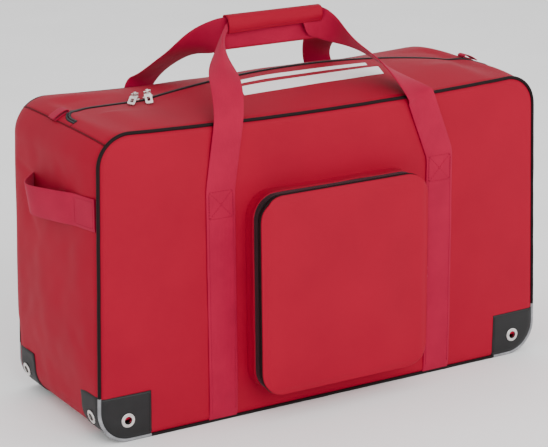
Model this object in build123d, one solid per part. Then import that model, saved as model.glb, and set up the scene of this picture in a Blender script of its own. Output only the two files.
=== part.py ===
from build123d import *
import math
import os

# Hockey equipment bag: a soft box-shaped carrier with a zipped top, two carry handles,
# two end grab handles, a zipped front pocket and moulded bottom corner patches.
# Millimetres. +X along the bag, -Y towards the pocket side, +Z up.
# The origin is on the underside of the base, at the middle of the bag.

# ---- driving dimensions: body ----
half_base = 406.5            # half length at the bottom
half_top = 392.0             # half length at the top
half_depth = 149.0           # outer faces of the front and back panels
height = 478.0               # top of the front panel at its corners
top_sag = 8.0                # how far the top edge drops in the middle
corner_radius = 50.0         # rounded corners of the front and back panels
panel = 3.0                  # padded fabric thickness
foot = 2.5                   # the fabric outline stands this far up, on its piping and base
gusset_end = 143.0           # half depth of the wall band that joins front and back
piping_reach = 148.5         # outer side of the piping, front and back
piping_proud = 2.5           # the piping stands this far outside the outline
grey_length = 86.0           # the piping is grey this far along and up from each bottom corner
grey_height = 80.0
binding_outer = 4.0          # the taped seam allowance inside, measured in from the outline
binding_inner = 6.4
binding_lap = 3.0            # and how far it laps onto the wall band

# ---- driving dimensions: top and main zip ----
ridge_y = 30.0               # the main zip runs along the highest line of the top
ridge_top = 502.0            # highest point of the top
ridge_end = 286.0            # the zip line is an arc this far each way from ridge_x
ridge_x = 55.0               # where along the bag the top is highest
hinge_y = -40.0              # fold line of the top flap, between the two zip ends
zip_half_length = 372.0      # half length of the zipped opening
zip_corner = 55.0            # radius where the zip turns towards the front
zip_gap = 0.5                # half the space between the two coils
coil_width = 2.6
coil_height = 1.2
tape_width = 4.4             # tape that shows on each side of the zip
tape = 2.0
slider_left_x = -243.0
slider_right_x = -220.0
main_bail = 11.0             # height of the bail bar over the zip
main_pull = 31.0             # length of each long pull
pull_width = 11.5
neck_length = 5.5            # between a pull's eye and its plate
pull_drop = 14.0             # degrees: the pulls lean down on the flap
left_splay = -36.0           # and turn aside, towards the left end
right_splay = -22.0

# ---- driving dimensions: handles ----
webbing = 50.0
strap = 2.0                  # webbing thickness
strap_left = -195.0          # middle of the left and right sewn legs
strap_right = 205.0
leg_top = 376.0              # stitched cross at the top of each sewn leg
fold_gap = 0.3
handle_stand = 2.4           # the loose webbing stands this far off the panel
grip_left = -96.0
grip_right = 71.0
grip_middle = 575.0          # height of the middle of the webbing inside the grip
grip_y = 3.0                 # each handle's webbing stands this far from the middle
wrap_top = 603.5
wrap = 2.3
lip_bottom = 575.0
flap_bottom = 548.0

# ---- driving dimensions: end grab handles ----
grab_low = 335.0
grab_proud = 45.0            # finger room between the band and the end panel
grab_front = (-140.0, -84.0)  # the band lies flat here, at its front end,
grab_span = (-38.0, 12.0)    # stands out here,
grab_back = (62.0, 112.0)    # and lies flat again here
grab_bend = 18.0

# ---- driving dimensions: webbing tabs beside the zip's ends ----
tab_length = 13.0
tab_thick = 5.2              # the webbing folded back on itself
tab_lift = 2.2
tab_width = 20.0
tab_y = 15.0
tab_turn = 35.0              # degrees round the top corner from level

# ---- driving dimensions: front pocket ----
pocket_half = 150.0
pocket_low = 44.0
pocket_high = 360.0
pocket_corner = 38.0
pocket_depth = 50.0
pocket_wall = 2.5
gusset_depth = 25.0          # plain fabric band next to the body
pocket_tape = 11.0           # width of each half of the pocket's zip band
pocket_slider_z = 192.0

# ---- driving dimensions: corner patches and eyelets ----
patch = 1.5
patch_length = 84.0
patch_height = 74.0
end_patch_depth = 58.0
end_patch_height = 78.0
eyelet_outer = 11.25
eyelet_bore = 6.25
eyelet_neck = 7.0
eyelet_x = 360.0
eyelet_z = 36.0
end_eyelet_y = 119.0
end_eyelet_drop = 13.0       # degrees below level, square to the rounded corner

far = 1200.0                 # larger than the bag, for cutting regions
clear = 0.3                  # running space between bodies

taper = math.degrees(math.atan((half_base - half_top) / (height - foot)))
corner_x = half_top + corner_radius * math.tan(math.radians(taper)) \
    - corner_radius / math.cos(math.radians(taper))
corner_z = height - corner_radius
base_x = half_base - corner_radius * math.tan(math.radians(taper)) \
    - corner_radius / math.cos(math.radians(taper))
base_z = foot + corner_radius
ridge_radius = (ridge_end ** 2 + (ridge_top - height) ** 2) / (2 * (ridge_top - height))
ridge_centre = ridge_top - ridge_radius


def block(x0, x1, y0, y1, z0, z1):
    """A plain box between two corners."""
    middle = Pos((x0 + x1) / 2, (y0 + y1) / 2, (z0 + z1) / 2)
    return middle * Box(x1 - x0, y1 - y0, z1 - z0)


def slab(sketch, y0, y1):
    """A front-view sketch made solid between two depths."""
    return Pos(0, y1, 0) * extrude(Plane.XZ * sketch, amount=y1 - y0, dir=(0, -1, 0))


def save(name, *solids):
    """Write one sub-part, made of one or more separate solids."""
    shapes = [solid for item in solids for solid in item.solids()]
    shape = shapes[0] if len(shapes) == 1 else Compound(children=shapes)
    shape.label = name
    export_step(shape, f"parts/{name}.step")


# ---------------------------------------------------------------- outlines

def wall_reach(z):
    """How far out the end panel is at one height."""
    return half_base - (half_base - half_top) * (z - foot) / (height - foot)


def outline(inset=0.0):
    """Front view of the body: a tapered box with rounded corners and a sagging top edge."""
    side = inset / math.cos(math.radians(taper))
    low, high = foot + inset, height - inset
    low_x, high_x = wall_reach(low) - side, wall_reach(high) - side
    corners = [(-low_x, low), (low_x, low), (high_x, high), (-high_x, high)]
    plain = Polygon(*corners, align=None)
    rounded = fillet(plain.vertices(), corner_radius - inset)
    sag_radius = (corner_x ** 2 + top_sag ** 2) / (2 * top_sag)
    sag = Pos(0, height - top_sag + sag_radius) * Circle(sag_radius + inset)
    return rounded - sag


def band(outer_inset, inner_inset):
    """The strip of the front view between two insets."""
    return outline(outer_inset) - outline(inner_inset)


def zip_opening(grow=0.0):
    """Plan view of the top flap: straight along the fold line, rounded at the two zip turns."""
    x = zip_half_length + grow
    back = ridge_y + grow
    radius = zip_corner + grow
    with BuildSketch() as plan:
        with BuildLine():
            Line((-x, hinge_y), (x, hinge_y))
            Line((x, hinge_y), (x, back - radius))
            RadiusArc((x, back - radius), (x - radius, back), -radius)
            Line((x - radius, back), (radius - x, back))
            RadiusArc((radius - x, back), (-x, back - radius), -radius)
            Line((-x, back - radius), (-x, hinge_y))
        make_face()
    return plan.sketch


def prism(sketch):
    """A plan-view region made tall enough to cut the top."""
    return extrude(sketch, amount=far)


# ---------------------------------------------------------------- top surface

def ridge(x):
    """Height of the zip line."""
    if abs(x) >= corner_x:
        return edge_height(x)
    if abs(x - ridge_x) >= ridge_end:
        return height
    return ridge_centre + math.sqrt(ridge_radius ** 2 - (x - ridge_x) ** 2)


def edge_height(x):
    """Height of the top edge of the front and back panels."""
    if abs(x) >= corner_x:
        return corner_z + math.sqrt(max(corner_radius ** 2 - (abs(x) - corner_x) ** 2, 0.0))
    return height - top_sag * (1 - (x / corner_x) ** 2)


def crown(x, y):
    """Height of the top: it rises from both long edges to the zip line."""
    span = ridge_y + half_depth if y < ridge_y else half_depth - ridge_y
    rise = 1 - abs(y - ridge_y) / span
    return edge_height(x) + (ridge(x) - edge_height(x)) * rise


seam_x = corner_x + corner_radius * math.sin(math.radians(45))
seam_z = corner_z + corner_radius * math.cos(math.radians(45))


def crown_strip(y0, y1):
    """The top surface between two depths, as one face."""
    count = 32
    reach = seam_x + panel
    stations = [-reach + 2 * reach * i / count for i in range(count + 1)]
    rows = [y0 + (y1 - y0) * i / 2 for i in range(3)]
    points = [[Vector(x, y, crown(x, y)) for y in rows] for x in stations]
    return Face.make_surface_from_array_of_points(points, tol=0.02)


crown_front = crown_strip(-gusset_end, ridge_y)
crown_back = crown_strip(ridge_y, gusset_end)


def layer(top, bottom):
    """The whole top between two heights measured from its surface."""
    down = (0, 0, -1)
    front = extrude(Pos(0, 0, top) * crown_front, amount=top - bottom, dir=down)
    back = extrude(Pos(0, 0, top) * crown_back, amount=top - bottom, dir=down)
    return front + back


def corner_wedge(side):
    """Everything outside the slanting seam between the top and one end panel."""
    start = (side * corner_x, corner_z)
    points = [start, (side * (corner_x + far), corner_z + far), (side * far * 2, -far), (0, -far)]
    return slab(Polygon(*points, align=None), -far, far)


wedge_left = corner_wedge(-1)
wedge_right = corner_wedge(1)
fabric_top = layer(0, -panel) - wedge_left - wedge_right
tape_layer = layer(-0.4, -0.4 - tape) - wedge_left - wedge_right
coil_layer = layer(-0.4 + coil_height, -0.4) - wedge_left - wedge_right


def top_pieces():
    """The fixed front strip, the lifting flap and the fixed back of the top."""
    band_width = zip_gap + tape_width
    strip_region = block(-far, far, -far, hinge_y - clear, 0, far)
    save("top_front_strip", fabric_top & strip_region)
    behind = block(-far, far, hinge_y - clear, far, 0, far)
    save("top_back_panel", (fabric_top & behind) - prism(zip_opening(band_width)))
    ahead = block(-far, far, hinge_y, far, 0, far)
    save("top_flap", fabric_top & prism(zip_opening(-band_width)) & ahead)


def zip_pieces():
    """Tape and coil of the main zip, one half on the flap and one half on the body."""
    wide = zip_gap + tape_width
    narrow = zip_gap + coil_width
    body_side = block(-far, far, hinge_y, far, 0, far)
    flap_tape = prism(zip_opening(-zip_gap)) - prism(zip_opening(-wide))
    body_tape = (prism(zip_opening(wide)) - prism(zip_opening(zip_gap))) & body_side
    flap_coil = prism(zip_opening(-zip_gap)) - prism(zip_opening(-narrow))
    body_coil = (prism(zip_opening(narrow)) - prism(zip_opening(zip_gap))) & body_side
    flap_side = block(-far, far, hinge_y + wide, far, 0, far)
    save("zip_tape_flap", tape_layer & flap_tape & flap_side)
    save("zip_tape_body", tape_layer & body_tape)
    save("zip_coil_flap", coil_layer & flap_coil & flap_side)
    save("zip_coil_body", coil_layer & body_coil)


# ---------------------------------------------------------------- body panels

def eyelet_places():
    """Where each eyelet sits: its plane, with +Z out of the bag."""
    places = []
    drop = math.radians(end_eyelet_drop)
    for side in (-1, 1):
        for face in (-1, 1):
            point = (side * eyelet_x, face * half_depth, eyelet_z)
            places.append(Plane(origin=point, x_dir=(1, 0, 0), z_dir=(0, face, 0)))
            wall_x = base_x + corner_radius * math.cos(drop)
            point = (side * wall_x, face * end_eyelet_y, base_z - corner_radius * math.sin(drop))
            normal = (side * math.cos(drop), 0, -math.sin(drop))
            places.append(Plane(origin=point, x_dir=(0, 1, 0), z_dir=normal))
    return places


def eyelet(plane):
    """A rolled metal eyelet that clamps the patch and the panel."""
    outer_side = patch
    curved = abs(plane.z_dir.X) > 0.5
    inner_side = -panel - (1.5 if curved else 0)
    bead = 1.6
    neck = Cylinder(eyelet_neck, outer_side - inner_side + 2, align=(Align.CENTER, Align.CENTER, Align.MIN))
    flange = Cylinder(eyelet_outer, bead, align=(Align.CENTER, Align.CENTER, Align.MIN))
    washer = Cylinder(eyelet_outer, 1.0, align=(Align.CENTER, Align.CENTER, Align.MAX))
    flange = fillet(flange.edges().sort_by(Axis.Z)[-1], bead * 0.6)
    body = Pos(0, 0, inner_side - 1) * neck + Pos(0, 0, outer_side + 0.1) * flange
    body = body + Pos(0, 0, inner_side - 0.1) * washer
    bore = Cylinder(eyelet_bore, far)
    return plane * (body - bore)


def eyelet_holes(shape):
    """Clear holes for the eyelet necks."""
    for plane in eyelet_places():
        shape = shape - plane * Cylinder(eyelet_neck + 0.1, 20)
    return shape


def body_panels():
    """Front and back panels, base, stiffening board and end panels."""
    face = outline(panel)
    front = slab(face, -half_depth, -half_depth + panel)
    back = slab(face, half_depth - panel, half_depth)
    save("front_panel", eyelet_holes(front))
    save("back_panel", eyelet_holes(back))
    save("base_panel", block(-base_x, base_x, -gusset_end + 0.2, gusset_end - 0.2, 0, foot + panel))
    save("base_board", block(-base_x + 6, base_x - 6, -138, 138, foot + panel, foot + 2 * panel))
    wall = slab(band(0, panel), -gusset_end, gusset_end)
    for side, name, wedge in ((-1, "left", wedge_left), (1, "right", wedge_right)):
        half = block(*sorted((side * base_x, side * far)), -far, far, -far, far)
        save(f"end_panel_{name}", eyelet_holes(wall & wedge & half))


def seam_pieces():
    """Piping and inner seam binding round the front and back panels."""
    ring = band(-piping_proud, panel)
    corner_box = block(half_base - grey_length, far, -far, far, -far, grey_height)
    corner_boxes = corner_box + mirror(corner_box, about=Plane.YZ)
    for face, name in ((-1, "front"), (1, "back")):
        reach = sorted((face * gusset_end, face * piping_reach))
        piping = slab(ring, *reach)
        save(f"piping_{name}", piping - corner_boxes)
        save(f"corner_piping_{name}", piping & corner_boxes)
        inner = sorted((face * (gusset_end - binding_lap), face * (half_depth - panel)))
        save(f"seam_binding_{name}", slab(band(binding_outer, binding_inner), *inner))


def corner_patches():
    """Each bottom corner has a face patch and an end patch that wraps the rounded edge."""
    wall_band = slab(band(-patch, 0), -gusset_end + 0.3, gusset_end - 0.3)
    for face, depth_name in ((-1, "front"), (1, "back")):
        outer = sorted((face * half_depth, face * (half_depth + patch)))
        sheet = slab(outline(panel), *outer)
        for side, side_name in ((-1, "left"), (1, "right")):
            long_side = sorted((side * (half_base - 2.5 - patch_length), side * far))
            near = sorted((face * (gusset_end - end_patch_depth), face * far))
            face_patch = sheet & block(*long_side, -far, far, -far, patch_height + foot)
            end_side = sorted((side * base_x, side * far))
            end_patch = wall_band & block(*end_side, *near, -far, end_patch_height)
            save(f"corner_patch_{depth_name}_{side_name}", eyelet_holes(face_patch),
                 eyelet_holes(end_patch))


# ---------------------------------------------------------------- carry handles

def unit(vector):
    return vector * (1 / vector.length)


def across(direction, wanted):
    """The wanted direction, made square to the webbing's run."""
    return unit(wanted - direction * wanted.dot(direction))


def handle_sections(face):
    """Centre, run and width directions along one carry handle, from left leg to right leg."""
    y = face * (half_depth + strap / 2 + handle_stand)
    upright = Vector(0, 0, -1)
    level = Vector(1, 0, 0)
    left = [Vector(-176, y, 470), Vector(-165, y, 530), Vector(-150, face * 12, grip_middle),
            Vector(grip_left, face * grip_y, grip_middle)]
    right = [Vector(167, y, 470), Vector(150, y, 515), Vector(130, face * 12, grip_middle),
             Vector(grip_right, face * grip_y, grip_middle)]
    sections = []
    for points, foot_x, steps in ((left, strap_left, range(9)), (right, strap_right, range(8, -1, -1))):
        part = []
        for step in steps:
            t = step / 8
            s = t * t * (3 - 2 * t)
            centre = points[0] * (1 - t) ** 3 + points[1] * (3 * t * (1 - t) ** 2) \
                + points[2] * (3 * t * t * (1 - t)) + points[3] * t ** 3
            run = unit((points[1] - points[0]) * (1 - t) ** 2 + (points[2] - points[1]) * (2 * t * (1 - t))
                       + (points[3] - points[2]) * t * t)
            wide = unit(across(run, level) * (1 - s) + across(run, upright) * s)
            part.append((centre, run if points is left else run * -1, wide))
        bottom = Vector(foot_x, y, leg_top + fold_gap)
        run = unit(points[0] - bottom)
        start = (bottom, run if points is left else run * -1, level)
        sections += [start] + part if points is left else part + [start]
    return sections


def webbing_loop(sections):
    """Flat webbing through a row of sections."""
    wires = []
    for centre, run, wide in sections:
        thick = unit(run.cross(wide)) * (strap / 2)
        edge = wide * (webbing / 2)
        corners = [centre - edge - thick, centre + edge - thick, centre + edge + thick, centre - edge + thick]
        wires.append(Wire.make_polygon(corners, close=True))
    return Solid.make_loft(wires, ruled=True)


def grip_wrap(face, bottom):
    """Half of the wrap round the grip: a turned-over top and one hanging side."""
    outer = face * (grip_y + strap / 2 + 0.2 + wrap)
    inner = face * (grip_y + strap / 2 + 0.2)
    middle = face * 0.25
    top = block(grip_left, grip_right, *sorted((middle, outer)), wrap_top - wrap, wrap_top)
    side = block(grip_left, grip_right, *sorted((inner, outer)), bottom, wrap_top - wrap)
    body = top + side
    edges = body.edges().filter_by(Axis.X).group_by(Axis.Z)[-1]
    return fillet(edges.sort_by(Axis.Y)[0 if face < 0 else -1], wrap * 0.9)


def carry_handles():
    """Sewn legs, loose loops and the two halves of the grip wrap."""
    for face, name, wrap_low in ((-1, "front", lip_bottom), (1, "back", flap_bottom)):
        depth = sorted((face * half_depth, face * (half_depth + strap)))
        legs = [block(x - webbing / 2, x + webbing / 2, *depth, foot, leg_top)
                for x in (strap_left, strap_right)]
        save(f"sewn_straps_{name}", *legs)
        save(f"carry_handle_{name}", webbing_loop(handle_sections(face)))
        save(f"grip_wrap_{name}", grip_wrap(face, wrap_low))


# ---------------------------------------------------------------- end handles and zip tabs

def end_handles():
    """A webbing band sewn flat at both ends, standing proud in the middle for the hand."""
    flat = wall_reach(grab_low) + strap / 2 + 0.2
    out = flat + grab_proud
    for side, name in ((-1, "left"), (1, "right")):
        points = [(side * flat, y) for y in grab_front] + [(side * out, y) for y in grab_span] \
            + [(side * flat, y) for y in grab_back]
        path = FilletPolyline(*points, radius=grab_bend)
        with BuildSketch() as shape:
            add(trace(path, line_width=strap))
        save(f"end_handle_{name}", Pos(0, 0, grab_low) * extrude(shape.sketch, amount=webbing))


def zip_tabs():
    """Short folded webbing tabs beside the zip's ends, lying on the rounded top corners."""
    loop = SlotOverall(tab_length + tab_thick, tab_thick) - SlotOverall(tab_length + 2, 2)
    tab = slab(loop, tab_y - tab_width / 2, tab_y + tab_width / 2)
    tab = tab & block(-far, tab_length / 2, -far, far, -far, far)
    angle = math.radians(tab_turn)
    reach = corner_radius + tab_thick / 2 + tab_lift
    middle = Pos(corner_x + reach * math.sin(angle), 0, corner_z + reach * math.cos(angle))
    right = middle * Rot(0, tab_turn, 0) * tab
    save("zip_tab_right", right)
    save("zip_tab_left", mirror(right, about=Plane.YZ))


# ---------------------------------------------------------------- front pocket

def pocket_outline(inset=0.0):
    """Front view of the pocket."""
    middle = (pocket_low + pocket_high) / 2
    sizes = (2 * (pocket_half - inset), pocket_high - pocket_low - 2 * inset)
    return Pos(0, middle) * RectangleRounded(*sizes, pocket_corner - inset)


def pocket_pieces():
    """Gusset, zip band halves and the cover that folds down along the pocket's bottom edge."""
    front = -half_depth - pocket_depth
    back = -half_depth
    ring = pocket_outline() - pocket_outline(pocket_wall)
    thin_ring = pocket_outline(0.3) - pocket_outline(pocket_wall - 0.3)
    gusset_front = back - gusset_depth
    zip_line = gusset_front - pocket_tape - coil_width
    low = pocket_low + pocket_wall + 4
    above = block(-far, far, -far, far, low, far)
    floor = block(-far, far, -far, far, -far, low - 0.6)
    wall = slab(ring, gusset_front, back)
    bottom_wall = slab(ring, front + panel + 0.5, gusset_front) & floor
    save("pocket_gusset", wall + bottom_wall)
    save("pocket_tape_body", slab(thin_ring, gusset_front - pocket_tape, gusset_front) & above)
    save("pocket_coil_body", slab(ring, zip_line + 0.3, gusset_front - pocket_tape) & above)
    cover_tape_end = zip_line - 0.3 - coil_width
    save("pocket_coil_cover", slab(ring, cover_tape_end, zip_line - 0.3) & above)
    save("pocket_tape_cover", slab(thin_ring, front + panel, cover_tape_end) & above)
    save("pocket_cover", slab(pocket_outline(), front, front + panel))
    edge = slab(pocket_outline(-1.8) - pocket_outline(), front + 0.4, front + 3.6)
    save("pocket_piping", edge & above)


# ---------------------------------------------------------------- sliders and pulls

def slider_body(length, width, bail_height):
    """A zip slider: a rounded plate with a bail bar along it. Its underside is at z = 0."""
    plate = extrude(SlotOverall(length, width), amount=2.6)
    plate = fillet(plate.edges().group_by(Axis.Z)[-1], 0.8)
    bail_length = length * 0.7
    bar = Rot(0, 90, 0) * Cylinder(1.1, bail_length)
    post = Box(2.2, 2.2, bail_height, align=(Align.CENTER, Align.CENTER, Align.MIN))
    reach = bail_length / 2 - 1.1
    return plate + Pos(0, 0, bail_height) * bar + Pos(reach, 0, 0) * post + Pos(-reach, 0, 0) * post


def pull_tab(length, width, thick, splay, eye_length):
    """A flat pull with a barrel eye round the bail, lying towards -Y from the origin."""
    eye = Rot(0, 90, 0) * (Cylinder(2.9, eye_length) - Cylinder(1.5, eye_length + 2))
    shape = Pos(0, -length / 2) * RectangleRounded(width, length, width * 0.28)
    window = Pos(0, -length * 0.55) * RectangleRounded(width * 0.42, length * 0.42, width * 0.15)
    plate = extrude(shape - window, amount=thick)
    half_eye = eye_length / 2
    neck = block(-half_eye, half_eye, -neck_length - 3.5, -2.2, 0, thick)
    plate = Rot(0, 0, splay) * (Pos(0, -neck_length, 0) * plate) + neck
    return eye + Pos(0, 0, -2.9) * plate


def main_sliders():
    """Two sliders that meet near the left of the top, with pulls lying on the flap."""
    lift = coil_height - 0.4 + 2 * clear
    slope = math.degrees(math.asin((ridge_x - slider_right_x) / ridge_radius))
    places = (("left", slider_left_x, 0.0, left_splay), ("right", slider_right_x, slope, right_splay))
    for name, x, tilt, splay in places:
        place = Pos(x, ridge_y, ridge(x) + lift) * Rot(0, -tilt, 0)
        save(f"main_slider_{name}", place * slider_body(17, 8.5, main_bail))
        pull = Rot(pull_drop, 0, 0) * pull_tab(main_pull, pull_width, 1.8, splay, 4.5)
        save(f"main_pull_{name}", place * Pos(0, 0, main_bail) * pull)


def pocket_sliders():
    """Two smaller sliders that meet half way up the pocket's right side."""
    zip_y = -half_depth - gusset_depth - pocket_tape - coil_width
    bail = 5.8
    for name, z in (("upper", pocket_slider_z + 7), ("lower", pocket_slider_z - 7)):
        place = Pos(pocket_half + clear, zip_y, z) * Rot(0, 90, 0)
        save(f"pocket_slider_{name}", place * slider_body(12, 7, bail))
        pull = Rot(0, 0, 180) * pull_tab(16, 7, 1.4, 0, 3.2)
        save(f"pocket_pull_{name}", place * Pos(0, 0, bail) * pull)


os.makedirs("parts", exist_ok=True)
top_pieces()
zip_pieces()
body_panels()
seam_pieces()
corner_patches()
save("eyelets", *[eyelet(plane) for plane in eyelet_places()])
carry_handles()
end_handles()
zip_tabs()
pocket_pieces()
main_sliders()
pocket_sliders()
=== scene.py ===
import math
import bmesh
import bpy
import numpy as np
from mathutils import Matrix, Vector


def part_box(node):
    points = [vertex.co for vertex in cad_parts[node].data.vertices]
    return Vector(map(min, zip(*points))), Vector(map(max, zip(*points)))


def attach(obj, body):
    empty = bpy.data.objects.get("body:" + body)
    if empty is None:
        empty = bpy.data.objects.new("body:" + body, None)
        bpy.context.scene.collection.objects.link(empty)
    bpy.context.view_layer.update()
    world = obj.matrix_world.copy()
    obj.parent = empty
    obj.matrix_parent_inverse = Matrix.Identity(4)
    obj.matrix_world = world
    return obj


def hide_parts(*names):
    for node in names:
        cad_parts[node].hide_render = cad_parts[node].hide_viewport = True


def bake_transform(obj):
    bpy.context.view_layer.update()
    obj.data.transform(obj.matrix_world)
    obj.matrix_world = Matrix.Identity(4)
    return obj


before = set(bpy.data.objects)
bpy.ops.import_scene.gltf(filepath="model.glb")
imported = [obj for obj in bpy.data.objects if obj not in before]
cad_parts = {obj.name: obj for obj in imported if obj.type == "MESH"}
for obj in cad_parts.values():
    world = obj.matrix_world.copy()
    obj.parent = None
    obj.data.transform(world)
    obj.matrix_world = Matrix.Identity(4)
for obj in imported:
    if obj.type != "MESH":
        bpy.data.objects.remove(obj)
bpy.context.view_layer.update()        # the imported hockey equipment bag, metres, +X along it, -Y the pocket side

# ---- sizes of the bag, in metres ----
PANEL = 0.003
FOOT = 0.0025
RADIUS = 0.050                                    # rounded corners of the front and back
HALF_DEPTH = -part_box("front_panel")[0].y          # outer faces of the front and back panels
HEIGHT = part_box("front_panel")[1].z + PANEL
HALF_BASE = 0.4065
HALF_TOP = 0.392
TOP_SAG = 0.008
GUSSET = 0.143                                    # half depth of the end and top fabric
TAPER = math.atan((HALF_BASE - HALF_TOP) / (HEIGHT - FOOT))
CORNER_X = HALF_TOP + RADIUS * math.tan(TAPER) - RADIUS / math.cos(TAPER)
CORNER_Z = HEIGHT - RADIUS
BASE_X = HALF_BASE - RADIUS * math.tan(TAPER) - RADIUS / math.cos(TAPER)
BASE_Z = FOOT + RADIUS
SEAM_TURN = math.radians(45)                      # the end fabric runs up to here on the corner
SEAM_X = CORNER_X + RADIUS * math.sin(SEAM_TURN)
SEAM_Z = CORNER_Z + RADIUS * math.cos(SEAM_TURN)

RIDGE_Y = 0.030
RIDGE_TOP = 0.502
RIDGE_X = 0.055
RIDGE_END = 0.286
RIDGE_RADIUS = (RIDGE_END ** 2 + (RIDGE_TOP - HEIGHT) ** 2) / (2 * (RIDGE_TOP - HEIGHT))
HINGE_Y = -0.040
ZIP_HALF = 0.372
ZIP_CORNER = 0.055
COIL = 0.0026
TAPE = 0.0049                                     # half the width of the zip's tape
TAPE_DROP = 0.0014                                # the tape lies this far below the cloth's face
PRINT_LIFT = 0.0003
ZIP_GAP = 0.0031                                  # cloth starts this far from the zip's middle

STRAP = 0.050
STRAP_THICK = 0.002
LEFT_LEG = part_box("sewn_straps_front")[0].x + STRAP / 2
RIGHT_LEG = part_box("sewn_straps_front")[1].x - STRAP / 2
LEG_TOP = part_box("sewn_straps_front")[1].z
HANDLE_Y = HALF_DEPTH + STRAP_THICK / 2 + 0.0024  # middle of the loose webbing beside the panel
GRIP_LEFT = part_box("grip_wrap_front")[0].x
GRIP_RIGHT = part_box("grip_wrap_front")[1].x
WRAP_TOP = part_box("grip_wrap_front")[1].z
GRIP_Z = 0.575
GRAB_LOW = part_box("end_handle_left")[0].z
GRAB_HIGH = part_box("end_handle_left")[1].z
GRAB_PROUD = 0.042

POCKET_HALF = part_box("pocket_cover")[1].x
POCKET_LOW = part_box("pocket_cover")[0].z
POCKET_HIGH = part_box("pocket_cover")[1].z
POCKET_FRONT = -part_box("pocket_cover")[0].y
POCKET_CORNER = 0.038
GUSSET_BAND = HALF_DEPTH + 0.025                  # plain fabric of the pocket's side, then its zip
POCKET_TAPE = GUSSET_BAND + 0.011
COIL_OUT = POCKET_TAPE + 0.0058

PATCH_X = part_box("corner_patch_front_right")[0].x
PATCH_Z = 0.0765
END_PATCH_Y = GUSSET - 0.058
END_PATCH_Z = 0.078
PATCH_THICK = 0.0012
GREY_X = HALF_BASE - 0.086                        # the piping is grey beyond here, below GREY_Z
GREY_Z = 0.080
PIPING_RADIUS = 0.00275
EYELET_X = 0.360
EYELET_Z = 0.036
EYELET_HOLE = 0.0072
END_EYELET_Y = 0.119
END_EYELET_DROP = math.radians(13)

SWELL = 0.0155                                    # how far stuffing pushes the ends out
SEAM_LAP = 0.001                                  # the top fabric runs this far into its seams
TOP_TURN = (0.0030, 0.009)                        # cloth beside a seam dips this deep, this far in
END_TURN = (0.0022, 0.008)
PATCH_RIM = 0.003                                 # the vinyl's edge slopes down over this width
STITCH_INSET = 0.005                              # stitching lies this far inside the webbing's edge

FACES = ((-1, "front"), (1, "back"))
SIDES = ((-1, "left"), (1, "right"))
PANEL_SEEDS = {-1: 11, 1: 23}                     # each panel's own unevenness


# ---------------------------------------------------------------- small maths

def smooth(start, end, value):
    """0 before start, 1 after end, easing between."""
    t = np.clip((value - start) / (end - start), 0, 1)
    return t * t * (3 - 2 * t)


def dip(depth, width, distance):
    """How far cloth dips beside an edge: depth at the edge, nothing from width inwards."""
    return depth * (1 - smooth(0, width, distance))


def ripple(a, b, size, seed):
    """Soft unevenness, roughly -1 to 1, with features of about this size."""
    rng = np.random.default_rng(seed)
    total = 0
    for _ in range(8):
        turn = rng.uniform(0, 2 * math.pi)
        rate = 2 * math.pi / size * rng.uniform(0.6, 1.5)
        total = total + np.sin(rate * (a * math.cos(turn) + b * math.sin(turn)) + rng.uniform(0, 6.28))
    return total / 4


def crease(a, b, start, end, width):
    """1 along a straight crease from start to end, fading out sideways and at its ends."""
    (a0, b0), (a1, b1) = start, end
    length = math.hypot(a1 - a0, b1 - b0)
    ua, ub = (a1 - a0) / length, (b1 - b0) / length
    along = (a - a0) * ua + (b - b0) * ub
    aside = (a - a0) * ub - (b - b0) * ua
    fade = smooth(-0.2 * length, 0.25 * length, along) * (1 - smooth(0.75 * length, 1.2 * length, along))
    return np.exp(-(aside / width) ** 2) * fade


def spread(inner, outer, few, many):
    """Values from -outer to outer: many between -inner and inner, and a few beyond each."""
    runs = ((-outer, -inner, few), (-inner, inner, many), (inner, outer, few))
    parts = [np.linspace(a, b, n, endpoint=False) for a, b, n in runs]
    return np.append(np.concatenate(parts), outer)


def lengths(points):
    """Distance along a row of points."""
    steps = np.linalg.norm(np.diff(points, axis=0), axis=1)
    return np.concatenate([[0], np.cumsum(steps)])


def follow(points, along, wanted):
    """Points at the wanted distances along a row of points."""
    return join(*(np.interp(wanted, along, points[:, k]) for k in range(3)))


def resample(points, pitch):
    """Points at an even pitch along a row of points, with the direction at each."""
    along = lengths(points)
    count = max(2, int(round(along[-1] / pitch)))
    wanted = (np.arange(count) + 0.5) * along[-1] / count
    ahead, behind = (follow(points, along, wanted + pitch * step) for step in (0.3, -0.3))
    return follow(points, along, wanted), unit(ahead - behind)


def unit(vectors):
    return vectors / np.maximum(np.linalg.norm(vectors, axis=-1, keepdims=True), 1e-12)


def join(*parts):
    """Points from their coordinates, each an array or one number for all."""
    return np.stack(np.broadcast_arrays(*parts), axis=-1)


def directions(points, closed=False):
    """Direction of travel at each point of a row, or of a closed ring."""
    if closed:
        return unit(np.roll(points, -1, axis=0) - np.roll(points, 1, axis=0))
    return unit(np.gradient(points, axis=0))


def relax(values, rounds):
    """Even out a row of values or vectors, leaving its ends."""
    values = values.copy()
    for _ in range(rounds):
        values[1:-1] = (values[:-2] + values[1:-1] * 2 + values[2:]) / 4
    return values


# ---------------------------------------------------------------- shape of the bag

def straight_wall(z):
    """How far out the end fabric would be with no rounded corners."""
    return HALF_BASE - (HALF_BASE - HALF_TOP) * (z - FOOT) / (HEIGHT - FOOT)


def wall_reach(z):
    """How far out the end fabric is at one height."""
    low = BASE_X + np.sqrt(np.maximum(RADIUS ** 2 - (BASE_Z - z) ** 2, 0))
    high = CORNER_X + np.sqrt(np.maximum(RADIUS ** 2 - (z - CORNER_Z) ** 2, 0))
    return np.where(z < BASE_Z, low, np.where(z > CORNER_Z, high, straight_wall(z)))


def sag(x):
    """How far the long top edges hang below a straight line."""
    return TOP_SAG * np.maximum(1 - (x / CORNER_X) ** 2, 0)


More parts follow.
